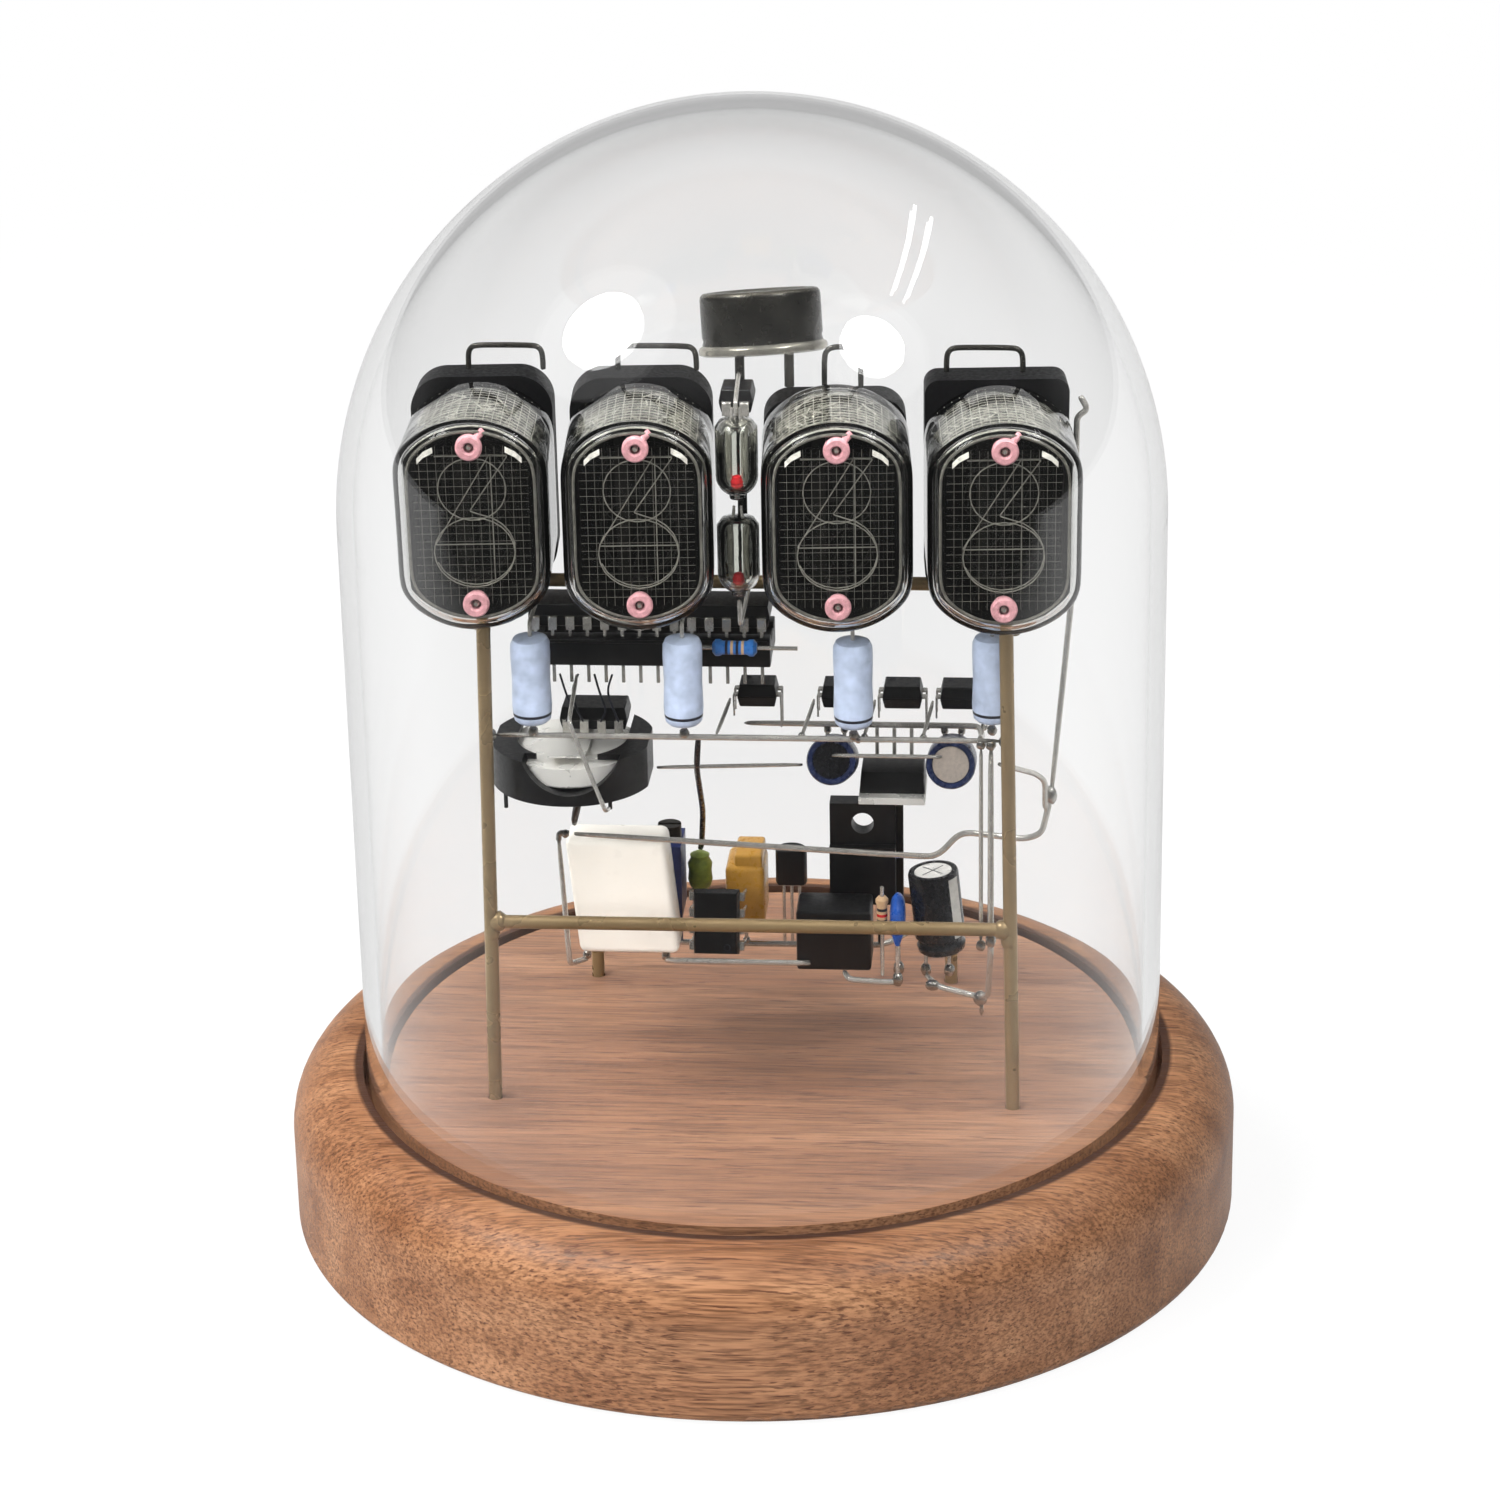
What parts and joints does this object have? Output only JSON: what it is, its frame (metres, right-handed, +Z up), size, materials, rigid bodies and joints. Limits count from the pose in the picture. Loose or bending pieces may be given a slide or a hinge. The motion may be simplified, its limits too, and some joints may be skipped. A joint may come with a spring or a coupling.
{
  "type": "nixie tube clock",
  "caption": "Desk clock of glass numeral tubes on a free-form frame of brass rods and electronic parts, under a lift-off glass dome on a round wooden base.",
  "frame": {"origin": "centre of the base's underside", "axes": "+Z up, the tubes' faces look along -Y, +X is to the viewer's right"},
  "size_m": [0.143, 0.143, 0.17],
  "materials": {
    "beech": "oiled, turned",
    "dome_glass": "clear, polished",
    "black_plastic": "fine satin",
    "red_wire": "smooth sleeve",
    "brass_rod": "dull, aged",
    "tube_glass": "clear",
    "shield_steel": "dull",
    "mesh_steel": "dark",
    "digit_steel": "dull",
    "pink_ceramic": "unglazed",
    "tinned_wire": "tinned, a little uneven",
    "neon_glass": "clear",
    "nickel_can": "dark nickel, drawn",
    "resistor_grey_blue": "smooth lacquer",
    "cell_steel": "satin",
    "sleeve_dark_blue": "shrink sleeve",
    "sleeve_black": "shrink sleeve",
    "white_plastic": "smooth",
    "mustard": "dipped",
    "olive": "dipped",
    "trimmer_blue": "moulded",
    "screw_brass": "turned",
    "disc_blue": "dipped",
    "resistor_blue": "lacquer with bands"
  },
  "bodies": {
    "clock": {"wood_base": "beech", "power_inlet": "black_plastic", "feed_wires": "red_wire", "leg_left": "brass_rod", "leg_right": "brass_rod", "rear_posts": "brass_rod", "front_crossbar": "brass_rod", "side_rails": "brass_rod", "base_rail": "brass_rod", "tube_glass_1": "tube_glass", "tube_glass_2": "tube_glass", "tube_glass_3": "tube_glass", "tube_glass_4": "tube_glass", "tube_shield_1": "shield_steel", "tube_shield_2": "shield_steel", "tube_shield_3": "shield_steel", "tube_shield_4": "shield_steel", "anode_mesh_1": "mesh_steel", "anode_mesh_2": "mesh_steel", "anode_mesh_3": "mesh_steel", "anode_mesh_4": "mesh_steel", "digit_stack_1": "digit_steel", "digit_stack_2": "digit_steel", "digit_stack_3": "digit_steel", "digit_stack_4": "digit_steel", "ceramic_spacers": "pink_ceramic", "tube_pins": "tinned_wire", "tube_base_1": "black_plastic", "tube_base_2": "black_plastic", "tube_base_3": "black_plastic", "tube_base_4": "black_plastic", "neon_glass": "neon_glass", "neon_electrodes": "tinned_wire", "metal_can": "nickel_can", "anode_resistors": "resistor_grey_blue", "digit_decoder": "black_plastic", "microcontroller": "black_plastic", "optocouplers": "black_plastic", "coin_holder": "black_plastic", "small_capacitors": "sleeve_dark_blue", "voltage_regulator": "black_plastic", "boost_mosfet": "black_plastic", "boost_inductor": "black_plastic", "boost_controller": "black_plastic", "white_capacitor": "white_plastic", "yellow_capacitor": "mustard", "green_capacitor": "olive", "trimmer_body": "trimmer_blue", "small_transistor": "black_plastic", "disc_capacitor": "disc_blue", "small_resistors": "resistor_blue", "reservoir_capacitor": "sleeve_black", "upper_bus": "tinned_wire", "lower_bus": "tinned_wire", "loop_wires": "tinned_wire", "long_wire": "tinned_wire", "signal_cable": "sleeve_black"},
    "dome": {"glass_dome": "dome_glass"},
    "coin_cell": {"coin_cell": "cell_steel"},
    "trimmer_screw": {"trimmer_screw": "screw_brass"}
  },
  "joints": [
    {"name": "dome_lift", "type": "slide", "parent": "clock", "child": "dome", "axis": [0, 0, 1], "range_m": [0, 0.135]},
    {"name": "coin_cell_slide", "type": "slide", "parent": "clock", "child": "coin_cell", "axis": [0, 1, 0], "range_m": [0, 0.022]},
    {"name": "trimmer_turn", "type": "hinge", "parent": "clock", "child": "trimmer_screw", "pos_m": [-0.0142, 0.0083, 0.0548], "axis": [0, 0, 1], "continuous": true}
  ]
}
